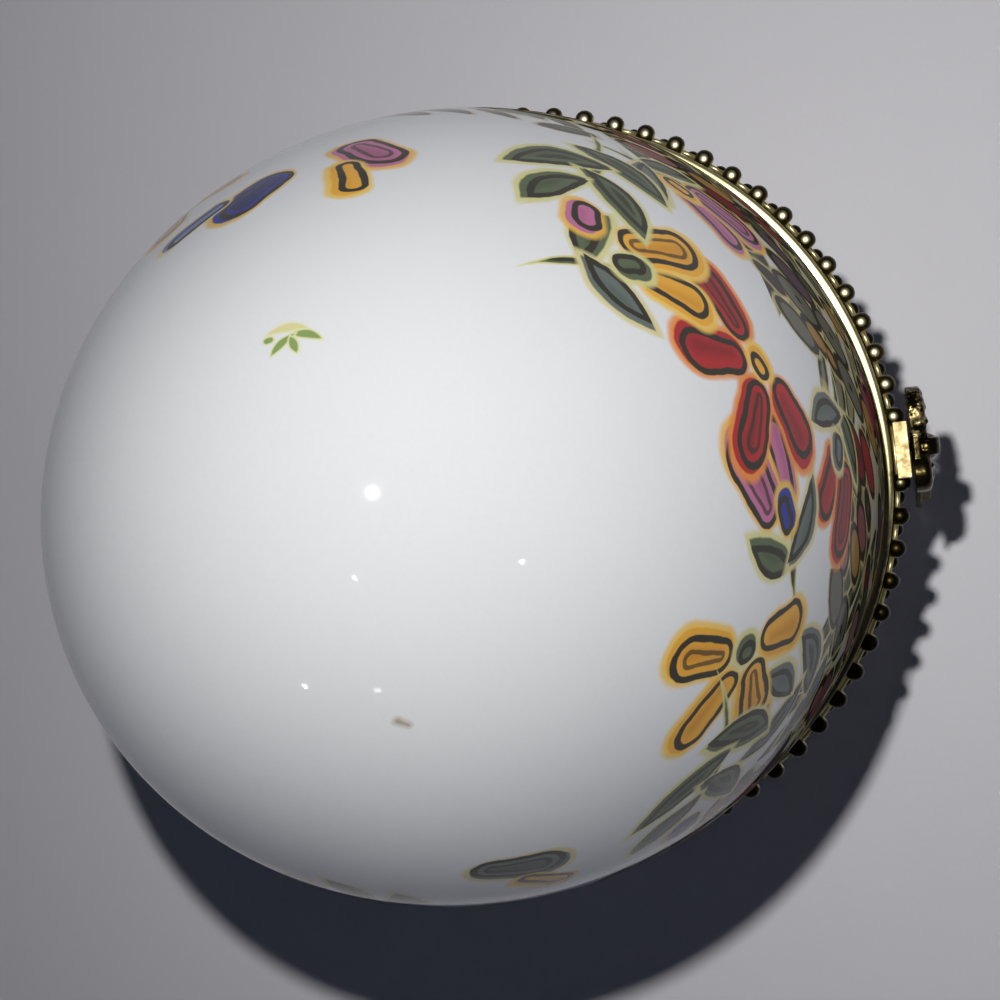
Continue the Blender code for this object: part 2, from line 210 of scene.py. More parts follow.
def filleted(corners):
    """A section's points from (radius, height, fillet) corners, each turned by an arc."""
    points = []
    count = len(corners)
    for i, (x, y, fillet) in enumerate(corners):
        here = Vector((x, y))
        if not fillet:
            points.append((x, y))
            continue
        back = (Vector(corners[i - 1][:2]) - here).normalized()
        ahead = (Vector(corners[(i + 1) % count][:2]) - here).normalized()
        half = back.angle(ahead) / 2
        centre = here + (back + ahead).normalized() * fillet / math.sin(half)
        first = here + back * fillet / math.tan(half) - centre
        last = here + ahead * fillet / math.tan(half) - centre
        turn = first.angle_signed(last)
        for k in range(FILLET_STEPS + 1):
            spoke = Matrix.Rotation(-turn * k / FILLET_STEPS, 2) @ first
            points.append(tuple(centre + spoke))
    return points


def bulge(radius, tip, level, fullness, count, start, end):
    """Points from the height start to the height end on a superellipse that runs from the axis at
    the height tip out to the radius at the height level."""
    first, last = (
        math.asin(((height - level) / (tip - level)) ** (fullness / 2)) for height in (start, end)
    )
    points = []
    for i in range(count):
        turn = first + (last - first) * i / (count - 1)
        out = radius * math.cos(turn) ** (2 / fullness)
        points.append((out, level + (tip - level) * math.sin(turn) ** (2 / fullness)))
    return points


def lathe(name, section, segments, arcs=None, ring=False):
    """A solid turned about Z from a section in mm. An open section starts and ends on the axis.
    arcs gives each point's distance along the outside from the rim, in mm."""
    cage = bmesh.new()
    arc_layer = cage.verts.layers.float.new("arc")
    rings = []
    for number, (radius, height) in enumerate(section):
        places = range(1) if radius < 1e-6 else range(segments)
        row = []
        for k in places:
            turn = -math.pi / 2 + 2 * math.pi * k / segments
            at = (radius * math.cos(turn) * MM, radius * math.sin(turn) * MM, height * MM)
            vert = cage.verts.new(at)
            vert[arc_layer] = arcs[number] if arcs else 0
            row.append(vert)
        rings.append(row)
    pairs = list(zip(rings, rings[1:]))
    if ring:
        pairs.append((rings[-1], rings[0]))
    for upper, lower in pairs:
        for k in range(segments):
            n = k + 1
            corners = [
                upper[k % len(upper)], upper[n % len(upper)],
                lower[n % len(lower)], lower[k % len(lower)],
            ]
            cage.faces.new(list(dict.fromkeys(corners))).smooth = True
    bmesh.ops.recalc_face_normals(cage, faces=cage.faces)
    return solid(cage, name)


def worked_out(piece):
    """The piece's mesh after its modifiers."""
    bpy.context.view_layer.update()
    graph = bpy.context.evaluated_depsgraph_get()
    return bpy.data.meshes.new_from_object(piece.evaluated_get(graph))


def baked(piece):
    """Gives the piece the mesh that its modifiers make."""
    mesh = worked_out(piece)
    piece.modifiers.clear()
    piece.data = mesh


def combine(piece, other, operation):
    modifier = piece.modifiers.new(operation, "BOOLEAN")
    modifier.operation = operation
    modifier.object = other
    baked(piece)
    bpy.data.objects.remove(other, do_unlink=True)


def block(name, low, high):
    cage = bmesh.new()
    low, high = Vector(low) * MM, Vector(high) * MM
    place = Matrix.Translation((low + high) / 2) @ Matrix.Diagonal((*(high - low), 1))
    bmesh.ops.create_cube(cage, size=1, matrix=place)
    return solid(cage, name)


def rod(name, radius, start, end, sides=64):
    start, end = Vector(start) * MM, Vector(end) * MM
    along = end - start
    turned = along.to_track_quat("Z", "Y").to_matrix().to_4x4()
    cage = bmesh.new()
    bmesh.ops.create_cone(
        cage, cap_ends=True, segments=sides, radius1=radius * MM, radius2=radius * MM,
        depth=along.length, matrix=Matrix.Translation((start + end) / 2) @ turned,
    )
    return solid(cage, name)


def ball(name, half_axes, middle):
    cage = bmesh.new()
    sizes = Matrix.Diagonal((*(Vector(half_axes) * MM), 1))
    place = Matrix.Translation(Vector(middle) * MM) @ sizes
    bmesh.ops.create_uvsphere(cage, u_segments=48, v_segments=32, radius=1, matrix=place)
    return solid(cage, name)


def smooth(piece, degrees=35):
    piece.data.shade_smooth()
    piece.data.set_sharp_from_angle(angle=math.radians(degrees))


def eased(piece, width):
    """Rounds the piece's sharp edges."""
    bevel = piece.modifiers.new("eased", "BEVEL")
    bevel.width = width * MM
    bevel.segments = 3
    bevel.limit_method = "ANGLE"
    bevel.angle_limit = math.radians(38)
    baked(piece)


# Porcelain shells

SHELL_SEGMENTS = 240
OUTSIDE_POINTS = 72
INSIDE_POINTS = 40
EDGE_FILLET = 0.15
FOOT_FILLET = 0.4
# The arc value of the points that aren't on the outside
UNPAINTED = -9.0


def lid_section():
    """The lid's section, and its painted points from the rim up."""
    outside = bulge(
        RIM_RADIUS, lid_top, bead_level, LID_FULLNESS, OUTSIDE_POINTS, lid_top, shoulder
    )
    top = lid_top - CROWN_WALL
    inside = bulge(BORE_RADIUS, top, EDGE_HEIGHT, LID_FULLNESS, INSIDE_POINTS, top, EDGE_HEIGHT)
    edge = filleted([
        (*outside[-2], 0), (*outside[-1], EDGE_FILLET), (SEAT_RADIUS, shoulder, 0),
        (SEAT_RADIUS, EDGE_HEIGHT, EDGE_FILLET), (BORE_RADIUS, EDGE_HEIGHT, EDGE_FILLET),
        (*inside[-2], 0),
    ])
    return outside[:-2] + edge + inside[-3::-1], range(len(outside) - 1, -1, -1)


def base_section():
    """The base's section, and its painted points from the rim down."""
    low, edge_level = FLOOR - foot_depth, -EDGE_HEIGHT
    inside = bulge(BORE_RADIUS, low, edge_level, BOWL_FULLNESS, INSIDE_POINTS, low, edge_level)
    outside = bulge(
        RIM_RADIUS, -foot_depth - TIP_BELOW_FOOT, -bead_level, BASE_FULLNESS, OUTSIDE_POINTS,
        -shoulder, -foot_depth,
    )
    edge = filleted([
        (*inside[-2], 0), (BORE_RADIUS, edge_level, EDGE_FILLET),
        (SEAT_RADIUS, edge_level, EDGE_FILLET), (SEAT_RADIUS, -shoulder, 0),
        (*outside[0], EDGE_FILLET), (*outside[1], 0),
    ])
    foot = filleted([(*outside[-2], 0), (*outside[-1], FOOT_FILLET), (0, -foot_depth, 0)])
    above = inside[:-2] + edge
    section = above + outside[2:-2] + foot
    return section, range(len(above) - 2, len(section) - len(foot) + 1)


def shell(name, section, painted, body, node):
    """A shell, and its radius for each distance from the rim over the painted points."""
    points = [section[i] for i in painted]
    lengths = np.cumsum([0.0] + [math.dist(a, b) for a, b in zip(points, points[1:])])
    radii = [radius for radius, _ in points]
    arcs = [UNPAINTED] * len(section)
    for i, length in zip(painted, lengths):
        arcs[i] = length
    piece = adopt(lathe(name, section, SHELL_SEGMENTS, arcs), body, node)
    return piece, lambda level: float(np.interp(level, lengths, radii))


# Metal mounts

MOUNT_SEGMENTS = 360


def collar(name, side, body, node):
    lip_outer = BORE_RADIUS - GAP
    lip_inner = lip_outer - LIP
    band_inner = SEAT_RADIUS + GAP
    top = flange_top
    bottom = top - FLANGE_THICKNESS
    channel = collar_face + WEB
    corners = [
        (lip_inner, collar_face, 0.2), (BAND_OUTER, collar_face, 0.15), (BAND_OUTER, bottom, 0.1),
        (flange_outer, bottom, 0.34), (flange_outer, top, 0.34), (band_inner, top, 0.1),
        (band_inner, channel, 0.1), (lip_outer, channel, 0.1),
        (lip_outer, collar_face + LIP_HEIGHT, 0.25), (lip_inner, collar_face + LIP_HEIGHT, 0.25),
    ]
    section = [(radius, side * height) for radius, height in filleted(corners)]
    return adopt(lathe(name, section, MOUNT_SEGMENTS, ring=True), body, node)


BEAD_SIDES = 16
BEAD_STATIONS = 11
# How much less than its radius a ball may measure, as a share, and how far it may sit off its
# place, up or down and along the wire
BEAD_LESS = 0.035
BEAD_LIFT = 0.03
BEAD_SHIFT = 0.04
# The angle over which the wire's ends taper
WIRE_END = 0.003


def bead_wire(name, side, ring, ball_radius, stagger, left_out, body, node, seed):
    """A wire round the collar that swells out into balls, each a little unlike the next."""
    chance = np.random.default_rng(seed)
    step = 2 * math.pi / BEAD_COUNT
    half = (BEAD_COUNT - HINGE_BEADS_LEFT_OUT) / 2
    places = [
        i + stagger
        for i in range(-BEAD_COUNT, BEAD_COUNT + 1)
        if abs(i + stagger) + 0.5 <= half and i + stagger not in left_out
    ]
    core = ring - CORE_INSET
    end = half * step
    stations = [(-end, core, CORE_RADIUS / 2, 0), (WIRE_END - end, core, CORE_RADIUS, 0)]
    for place in places:
        radius = ball_radius * (1 - BEAD_LESS * chance.random())
        lift = BEAD_LIFT * (chance.random() - 0.5)
        shift = BEAD_SHIFT * (chance.random() - 0.5)
        widest = math.acos(CORE_RADIUS / radius)
        for k in range(BEAD_STATIONS):
            share = 2 * k / (BEAD_STATIONS - 1) - 1
            turn = widest * share
            at = place * step + (radius * math.sin(turn) + shift) / ring
            inset = CORE_INSET if abs(share) == 1 else 0
            stations.append((at, ring - inset, radius * math.cos(turn), lift))
    stations += [(end - WIRE_END, core, CORE_RADIUS, 0), (end, core, CORE_RADIUS / 2, 0)]
    cage = bmesh.new()
    swell = cage.verts.layers.float.new("swell")
    rings = []
    for turn, distance, radius, lift in stations:
        outward = Vector((math.sin(turn), -math.cos(turn), 0))
        middle = outward * distance + Vector((0, 0, side * bead_level + lift))
        row = []
        for k in range(BEAD_SIDES):
            around = 2 * math.pi * k / BEAD_SIDES
            spoke = outward * math.cos(around) + Vector((0, 0, math.sin(around)))
            vert = cage.verts.new((middle + spoke * radius) * MM)
            vert[swell] = (radius - CORE_RADIUS) / (ball_radius - CORE_RADIUS)
            row.append(vert)
        rings.append(row)
    skin(cage, rings)
    piece = solid(cage, name)
    piece.data.shade_smooth()
    return adopt(piece, body, node)


LEAF_EDGE = 0.09
# How far the cutters reach past the plate
SADDLE_CUT = 9.0
BORE_CUT = 1.0
HEAD_FILLET = 0.4


def hinge_plate(name, side, spans, other_spans, body, node):
    """A saddle against the collar that carries this side's knuckles."""
    low, high = sorted((side * collar_face, side * (collar_face + LEAF_HEIGHT)))
    piece = block(name, (-leaf_half, BORE_RADIUS, low), (leaf_half, hinge_y, high))

    def across(radius, start, end):
        return rod("across", radius, (start, hinge_y, 0), (end, hinge_y, 0))

    for start, end in spans:
        combine(piece, across(BARREL_RADIUS, start, end), "UNION")
    ends = (0, 0, -SADDLE_CUT), (0, 0, SADDLE_CUT)
    saddle = rod("saddle", BAND_OUTER + GAP, *ends, MOUNT_SEGMENTS)
    combine(piece, saddle, "DIFFERENCE")
    for start, end in other_spans:
        combine(piece, across(BARREL_RADIUS + GAP, start - GAP, end + GAP), "DIFFERENCE")
    reach = leaf_half + BORE_CUT
    combine(piece, across(PIN_RADIUS + GAP, -reach, reach), "DIFFERENCE")
    eased(piece, LEAF_EDGE)
    smooth(piece)
    return adopt(piece, body, node)


def hinge_pin():
    """A wire pin with a domed head peened on each end."""
    half = pin_half - PIN_HEAD_LENGTH
    head = filleted([
        (0, pin_half, 0), (PIN_HEAD_RADIUS, pin_half, HEAD_FILLET),
        (PIN_HEAD_RADIUS, half, HEAD_FILLET / 4), (PIN_RADIUS, half, 0),
    ])
    section = head + [(radius, -height) for radius, height in head[::-1]]
    piece = lathe("hinge_pin_wire", section, 48)
    piece.data.transform(Matrix.Rotation(math.pi / 2, 4, "Y"))
    piece.data.transform(Matrix.Translation((0, hinge_y * MM, 0)))
    smooth(piece, 50)
    return adopt(piece, "base", "hinge_pin")


def grain(piece, depth, size, seed, keep=None):
    """Moves each point in along its normal by up to depth, as a sand casting's skin."""
    mesh = piece.data
    normals = [vert.normal.copy() for vert in mesh.vertices]
    shift = Vector((seed, 0, 0))
    for vert, normal in zip(mesh.vertices, normals):
        share = keep(vert.co / MM) if keep else 1
        rough = noise.noise(vert.co / (size * MM) + shift) * 0.5 + 0.5
        fine = noise.noise(vert.co / (size * 0.45 * MM) - shift) * 0.5 + 0.5
        vert.co -= normal * depth * MM * share * (0.65 * rough + 0.35 * fine)
    mesh.update()


def remeshed(piece, voxel, rounds):
    """One even skin over the piece's joined solids, with its corners softened."""
    modifier = piece.modifiers.new("skin", "REMESH")
    modifier.mode = "VOXEL"
    modifier.voxel_size = voxel * MM
    soften = piece.modifiers.new("soften", "SMOOTH")
    soften.factor = 0.5
    soften.iterations = rounds
    baked(piece)
    piece.data.shade_smooth()


def clasp_pad():
    """The pad over the lid's beaded wire, with a neck that comes down between two beads."""
    bottom = flange_top - FLANGE_THICKNESS
    piece = block("clasp_pad", (lug_low.x, lug_low.y, bottom), lug_high)
    neck = block(
        "neck", (-neck_half, lug_low.y + 0.1, lug_low.z),
        (neck_half, -lid_ring - past_core, bottom + 0.3),
    )
    combine(piece, neck, "UNION")
    remeshed(piece, 0.06, 3)
    grain(piece, 0.035, 0.45, 3)
    return adopt(piece, "lid", "clasp_lug")


LOOP_POINTS = 48
LOOP_RISE = 2.5
LOOP_ROUNDNESS = 0.75
# How far out each level of a loop stands, as shares of its depth, and how full it is there
PILLOW = ((0.0, 0.97), (0.06, 1.0), (0.62, 1.0), (0.80, 0.95), (0.93, 0.84), (1.0, 0.62))


def loop_outline(side, reach):
    points = []
    for i in range(LOOP_POINTS):
        turn = 2 * math.pi * i / LOOP_POINTS
        swell = LOOP_ROUNDNESS + (1 - LOOP_ROUNDNESS) * math.sin(turn / 2)
        rise = LOOP_RISE * math.sin(turn) * swell
        points.append((side * reach * (1 - math.cos(turn)) / 2, bead_level + rise))
    return points


def pillow(name, outline, depth, back):
    """A puffed solid over a flat outline, flat behind and rounded towards -Y."""
    cage = bmesh.new()
    middle = sum((Vector(point) for point in outline), Vector((0, 0))) / len(outline)
    rings = []
    for share, scale in PILLOW:
        ring = []
        for point in outline:
            x, z = middle + (Vector(point) - middle) * scale
            ring.append(cage.verts.new((x * MM, -(back + depth * share) * MM, z * MM)))
        rings.append(ring)
    skin(cage, rings)
    return solid(cage, name)


def flat(name, outline, thickness, back):
    """A flat solid in the X and Z plane, from its back towards -Y."""
    cage = bmesh.new()
    near = [cage.verts.new((x * MM, -back * MM, z * MM)) for x, z in outline]
    face = cage.faces.new(near)
    made = bmesh.ops.extrude_face_region(cage, geom=[face])["geom"]
    moved = [part for part in made if isinstance(part, bmesh.types.BMVert)]
    bmesh.ops.translate(cage, verts=moved, vec=(0, -thickness * MM, 0))
    bmesh.ops.recalc_face_normals(cage, faces=cage.faces)
    return solid(cage, name)


def cord_solid(name, points, radius):
    """A round tube along points in mm."""
    curve = bpy.data.curves.new(name, "CURVE")
    curve.dimensions = "3D"
    curve.bevel_depth = MM
    curve.bevel_resolution = 4
    curve.use_fill_caps = True
    spline = curve.splines.new("POLY")
    spline.points.add(len(points) - 1)
    for point, place in zip(spline.points, points):
        point.co = (*(Vector(place) * MM), 1)
        point.radius = radius
    made = scratch(name, curve)
    mesh = worked_out(made)
    bpy.data.objects.remove(made, do_unlink=True)
    return scratch(name, mesh)


def joined(pieces):
    """One object of several solids, which the next remesh makes one skin."""
    cage = bmesh.new()
    for piece in pieces:
        cage.from_mesh(piece.data)
    first = pieces[0]
    cage.to_mesh(first.data)
    cage.free()
    for piece in pieces[1:]:
        bpy.data.objects.remove(piece, do_unlink=True)
    return first


def tail_outline(side, reach):
    low = bead_level - TAIL_DROP
    past_stud = STUD_BALL + 2 * GAP
    return [
        (side * x, z)
        for x, z in (
            (KNOT_RADIUS / 4, bead_level), (past_stud, STUD_BALL - bead_level),
            (past_stud, -bead_level), (reach - TAIL_WIDTH, low),
            (reach - TAIL_WIDTH / 2, low + TAIL_NOTCH), (reach, low + TAIL_NOTCH / 2),
            (past_stud + TAIL_WIDTH / 2, bead_level),
        )
    ]


KNOT_RIDGE = 0.28
KNOT_RIDGE_PLACE = 0.5
PLEAT = 0.3
PLEAT_PLACES = (0.4, 0.62)
# A tail is a thin sheet with a thicker one before it, which ends a little short of it
TAIL_SHEET = 0.45
TAIL_STEP = 0.5
TAIL_SET_BACK = 0.08


def bow():
    """The cast bow: two puffed loops with pleats, a ridged knot, two notched tails and the
    slotted tongue. The loop at +X keeps the sand's grain, the rest is smoother."""
    slot = STUD_NECK + GAP
    slot_end = slot - bead_level
    tongue = [
        (TONGUE_HALF, flange_top), (-TONGUE_HALF, flange_top), (-TONGUE_HALF, -TONGUE_DROP),
        (-slot, -TONGUE_DROP), (-slot, slot_end), (slot, slot_end), (slot, -TONGUE_DROP),
        (TONGUE_HALF, -TONGUE_DROP),
    ]
    solids = [flat("bow_clasp", tongue, TONGUE_THICKNESS, bow_back)]
    loop_back = bow_back - LOOP_SET_BACK
    front = loop_back + LOOP_DEPTH
    thickness = front - bow_back - TAIL_SET_BACK
    for side, reach, tail in ((1, loop_right, TAIL_RIGHT), (-1, LOOP_LEFT, tail_left)):
        solids += [
            pillow("loop", loop_outline(side, reach), LOOP_DEPTH, loop_back),
            flat("tail", tail_outline(side, tail - TAIL_STEP), thickness, bow_back),
            flat("tail_back", tail_outline(side, tail), TAIL_SHEET, bow_back),
        ]
        for share in PLEAT_PLACES:
            x = side * share * reach
            rise = LOOP_RISE * (1 - share)
            ridge = [
                (x + side * PLEAT * (1 - k * k / 16), PLEAT / 2 - front, bead_level + rise * k / 4)
                for k in range(-4, 5)
            ]
            solids.append(cord_solid("pleat", ridge, PLEAT))
    depth = knot_standout / 2
    middle = -bow_back - depth
    solids.append(ball("knot", (KNOT_RADIUS, depth, KNOT_RADIUS), (0, middle, bead_level)))
    for x in (-KNOT_RIDGE_PLACE, KNOT_RIDGE_PLACE):
        share = math.sqrt(1 - (x / KNOT_RADIUS) ** 2)
        wrap = [
            (x, middle - (depth * share - KNOT_RIDGE / 2) * math.cos(turn),
             bead_level + (KNOT_RADIUS * share - KNOT_RIDGE / 3) * math.sin(turn))
            for turn in (math.radians(15 * k) for k in range(-7, 8))
        ]
        solids.append(cord_solid("wrap", wrap, KNOT_RIDGE))
    piece = joined(solids)
    remeshed(piece, 0.07, 3)

    def grained(at):
        return 1.0 if at.x > KNOT_RADIUS else 0.15

    grain(piece, 0.20, 0.50, 7, grained)
    return adopt(piece, "lid", "clasp_bow")


def catch():
    """A ball on a neck, standing from a pad on the base's beaded wire."""
    pad_inner = base_ring + past_core
    pad_outer = pad_inner + STUD_PAD
    pad = block(
        "ball_catch", (-neck_half, -pad_outer, -bead_level - BASE_BEAD_RADIUS),
        (neck_half, -pad_inner, -bead_level + BASE_BEAD_RADIUS),
    )
    ball_y = stud_low.y + STUD_BALL
    neck = rod("neck", STUD_NECK, (0, 0.3 - pad_outer, -bead_level), (0, ball_y, -bead_level))
    head = ball("head", [STUD_BALL] * 3, (0, ball_y, -bead_level))
    piece = joined([pad, neck, head])
    remeshed(piece, 0.05, 3)
    grain(piece, 0.03, 0.5, 11)
    return adopt(piece, "base", "catch_stud")


# Materials

class Sheet:
    """A node tree, with short calls for its nodes. An owner is a material, world or lamp."""

    def __init__(self, owner, tree=None):
        self.owner = owner
        if owner:
            owner.use_nodes = True
            tree = owner.node_tree
        self.tree, self.nodes, self.links = tree, tree.nodes, tree.links

    def put(self, socket, value):
        """Gives a socket a link or a value. Colours come without their alpha."""
        if isinstance(value, bpy.types.NodeSocket):
            self.links.new(value, socket)
        else:
            socket.default_value = (*value, 1) if socket.type == "RGBA" else value

    def add(self, kind, inputs=None, **settings):
        made = self.nodes.new("ShaderNode" + kind)
        for name, value in settings.items():
            setattr(made, name, value)
        for key, value in (inputs or {}).items():
            self.put(made.inputs[key], value)
        return made

    def place(self):
        """Where a point is on the object, in metres, which moves with it."""
        return self.add("TexCoord").outputs["Object"]

    def off_axis(self):
        """A point's distance from the axis in mm."""
        across = self.vector("MULTIPLY", self.place(), (1 / MM, 1 / MM, 0))
        return self.vector("LENGTH", across, out=1)

    def layer(self, name):
        return self.add("Attribute", attribute_name=name).outputs["Fac"]

    def parts(self, vector):
        return self.add("SeparateXYZ", {0: vector}).outputs

    def chances(self, colour):
        return self.add("SeparateColor", {0: colour}).outputs

    def math(self, operation, *values):
        return self.add("Math", dict(enumerate(values)), operation=operation).outputs[0]

    def times(self, *values):
        """The first value times the second, plus the third if there is one."""
        return self.math("MULTIPLY_ADD" if len(values) == 3 else "MULTIPLY", *values)

    def vector(self, operation, *values, out=0):
        return self.add("VectorMath", dict(enumerate(values)), operation=operation).outputs[out]

    def mix(self, factor, first, second):
        return self.add("Mix", {0: factor, 6: first, 7: second}, data_type="RGBA").outputs[2]

    def ramp(self, factor, stops, interpolation="LINEAR"):
        """A colour over a factor, with its alpha as the second output. A stop's colour may be a
        single grey."""
        made = self.add("ValToRGB", {0: factor})
        made.color_ramp.interpolation = interpolation
        elements = made.color_ramp.elements
        while len(elements) < len(stops):
            elements.new(1)
        for element, (position, colour) in zip(elements, stops):
            element.position = position
            if not isinstance(colour, tuple):
                colour = (colour,) * 3
            element.color = (*colour, 1)[:4]
        return made.outputs

    def over_arc(self, span, stops):
        """A ramp over the distance from the rim, its stops in mm, up to span."""
        share = self.times(self.layer("arc"), 1 / span)
        return self.ramp(share, [(at / span, grey) for at, grey in stops])[0]

    def local(self, vector, degrees, place=(0, 0, 0), size=1):
        """The vector as seen from a place, turned by degrees, in units of size."""
        inputs = {
            "Vector": vector, "Location": place, "Rotation": (0, 0, math.radians(degrees)),
            "Scale": (size, size, 1),
        }
        return self.add("Mapping", inputs, vector_type="TEXTURE").outputs[0]

    def noise(self, place, scale, detail=2.0, roughness=0.5, out=0):
        inputs = {"Vector": place, "Scale": scale, "Detail": detail, "Roughness": roughness}
        return self.add("TexNoise", inputs).outputs[out]

    def set(self, **values):
        for name, value in values.items():
            self.put(self.nodes["Principled BSDF"].inputs[name.replace("_", " ")], value)

    def bump(self, height, distance, strength=1.0):
        inputs = {"Height": height, "Strength": strength, "Distance": distance * MM}
        self.set(Normal=self.add("Bump", inputs).outputs[0])


def material_sheet(name):
    return Sheet(bpy.data.materials.new(name))


PORCELAIN = linear("EEF0F2")
GLAZE_ROUGHNESS = 0.055
GLAZE_SHINE = 0.28
# The distances from the rim between which the worn glaze turns glossy
WORN_TO = 20.0
GLOSSY_FROM = 40.0


def glaze(sheet, place, colour):
    """The glassy glaze over a body colour, with its faint ripple and kiln specks. It is worn and
    dirty next to the mounts."""
    shine = sheet.over_arc(50, [(WORN_TO, 0), (GLOSSY_FROM, GLAZE_SHINE)])
    tone = sheet.noise(place, 45, 2)
    tinted = sheet.mix(sheet.times(tone, 0.10), colour, linear("D9DADB"))
    cells = sheet.add("TexVoronoi", {"Vector": place, "Scale": 130.0, "Randomness": 1.0})
    near = sheet.math("LESS_THAN", cells.outputs["Distance"], 0.018)
    pick = sheet.chances(cells.outputs["Color"])[0]
    speck = sheet.times(near, sheet.math("GREATER_THAN", pick, 0.93))
    sheet.set(Base_Color=sheet.mix(sheet.times(speck, 0.55), tinted, linear("8A7658")))
    smear = sheet.noise(place, 70, 3)
    sheet.set(Roughness=sheet.times(smear, 0.03, GLAZE_ROUGHNESS - 0.015))
    sheet.bump(sheet.noise(place, 160, 1), 0.012, 0.6)
    sheet.set(IOR=1.45, Specular_IOR_Level=shine, Diffuse_Roughness=0.12)


# Painting: each stroke is a leaf or petal shape in mm, coloured by the distance to its outline

INK = linear("29230F")
# Each colour's fill, its deeper core and its halo
COLOURS = {
    "red": ("B81A1E", "8E1014", "F2953A"), "rose": ("C8749E", "AE5C86", "F6C04C"),
    "blue": ("25329C", "171F66", "EFC654"), "sky": ("7486BE", "50639E", "EFE0A0"),
    "gold": ("F4B434", "E09A1C", "FAD060"), "green": ("596848", "3A4828", "E2DC96"),
    "slate": ("66716C", "4A564E", "E4D89C"), "lime": ("8FA860", "7C9A4C", "E6E8B0"),
    "lemon": ("E6E0A0", "DCD488", "EEEBC8"), "dust": ("B2AA9A", "A0968A", "D8D4CC"),
}
# A stroke's colours over the distance to its outline, in mm, from inside to outside
STROKE_IN = 3.15
STROKE_OUT = 1.35
HALO = 0.62
FAINT_HALO = 0.25
# The ink's outline and its inner line, and how far the ink lies off the fill
OUTLINE = (-0.58, -0.18)
INNER_LINE = (-1.36, -1.10)
INK_SOFT = 0.07
INK_OFFSET = (0.22, -0.30, 0)
CORE_TO = -1.6
FILL_FROM = -0.7
FILL_SOFT = 0.06
# A narrower stroke than this has a faint halo, and its ink nearly in place
THIN = 0.5
THIN_INK_OFFSET = 0.3


def share_at(distance):
    return (distance + STROKE_IN) / (STROKE_IN + STROKE_OUT)


def fill_stops(colour, reach):
    """A stroke's colours from its core out to the halo's end, at reach."""
    fill, core, halo = (linear(code) for code in COLOURS[colour])
    return [
        (CORE_TO, core), (FILL_FROM, fill), (-FILL_SOFT, fill), (FILL_SOFT, halo),
        (reach / 2, (*halo, 0.85)), (reach, (*halo, 0)),
    ]


def ink_stops(inner):
    """The ink's outline, with an inner line of the strength inner."""
    stops = []
    for (start, end), ink in ((INNER_LINE, inner), (OUTLINE, 1)):
        if ink:
            stops += [(start - INK_SOFT, 0), (start, ink), (end, ink), (end + INK_SOFT, 0)]
    return [(distance, (*INK, amount)) for distance, amount in stops]


def stroke(sheet, place, under, wobble, shape):
    """Paints one stroke over the colour under it: a fill with a halo, then the ink a little off
    it. shape is (x, y, angle, half length, half width, taper, bend, colour, inner line). A taper of
    None makes a leaf with pointed ends, and an inner line of None leaves the ink out."""
    x, y, angle, length, width, taper, bend, ink, inner = shape
    # A trace of the colour under it makes each stroke wait for the last one, which keeps the
    # shader small enough for the renderer
    place = sheet.vector("MULTIPLY_ADD", under, (1e-7, 1e-7, 0), place)
    at = sheet.local(place, angle, (x, y, 0))
    if bend:
        along, across, _ = sheet.parts(at)
        square = sheet.times(along, along)
        across = sheet.times(square, bend, across)
        at = sheet.add("CombineXYZ", {0: along, 1: across}).outputs[0]
    thin = width < THIN
    passes = [(fill_stops(ink, FAINT_HALO if thin or inner is None else HALO), None)]
    if inner is not None:
        scale = THIN_INK_OFFSET if thin else 1
        passes.append((ink_stops(inner), [part * scale for part in INK_OFFSET]))
    for stops, offset in passes:
        spot = sheet.vector("ADD", at, offset) if offset else at
        folded = sheet.vector("ABSOLUTE", spot)
        if taper is None:
            radius = (length * length + width * width) / (2 * width)
            moved = sheet.vector("ADD", folded, (0, radius - width, 0))
        else:
            radius = sheet.times(sheet.parts(spot)[0], taper, width)
            past = sheet.vector("SUBTRACT", folded, (length - width, 0, 0))
            moved = sheet.vector("MAXIMUM", past, (0, 0, 0))
        distance = sheet.math("SUBTRACT", sheet.vector("LENGTH", moved, out=1), radius)
        share = sheet.times(distance, 1 / (STROKE_IN + STROKE_OUT), wobble)
        colour, amount = sheet.ramp(share, [(share_at(off), paint) for off, paint in stops])
        under = sheet.mix(amount, under, colour)
    return under


def motif(name, strokes):
    """A node group that paints the strokes, at a place in mm, over the colour under them."""
    sheet = Sheet(None, bpy.data.node_groups.new(name, "ShaderNodeTree"))
    sides = sheet.tree.interface
    for side, kind in (("Place", "Vector"), ("Under", "Color"), ("Wobble", "Float")):
        sides.new_socket(side, in_out="INPUT", socket_type="NodeSocket" + kind)
    sides.new_socket("Colour", in_out="OUTPUT", socket_type="NodeSocketColor")
    place, colour, wobble, _ = sheet.nodes.new("NodeGroupInput").outputs
    for shape in strokes:
        colour = stroke(sheet, place, colour, wobble, shape)
    sheet.links.new(colour, sheet.nodes.new("NodeGroupOutput").inputs[0])
    return sheet.tree


PETAL_PLACE = 4.5


def flower(ink, eye, count, gap=0):
    """Petals in a ring about an eye, with a gap in degrees where they leave off."""
    step = (360 - gap) / (count - 1 if gap else count)
    start = 270 - gap / 2 if gap else 90
    strokes = []
    for i in range(count):
        angle = start - i * step
        x, y = (PETAL_PLACE * part(math.radians(angle)) for part in (math.cos, math.sin))
        strokes.append((x, y, angle, 3.1, 1.6, 0.10, 0, ink, 0.8 * (i % 2)))
    strokes.append((0, 0, 0, 1.15, 1.0, 0, 0, eye, 0))
    return motif(f"flower_{ink}_{eye}_{count}", strokes)


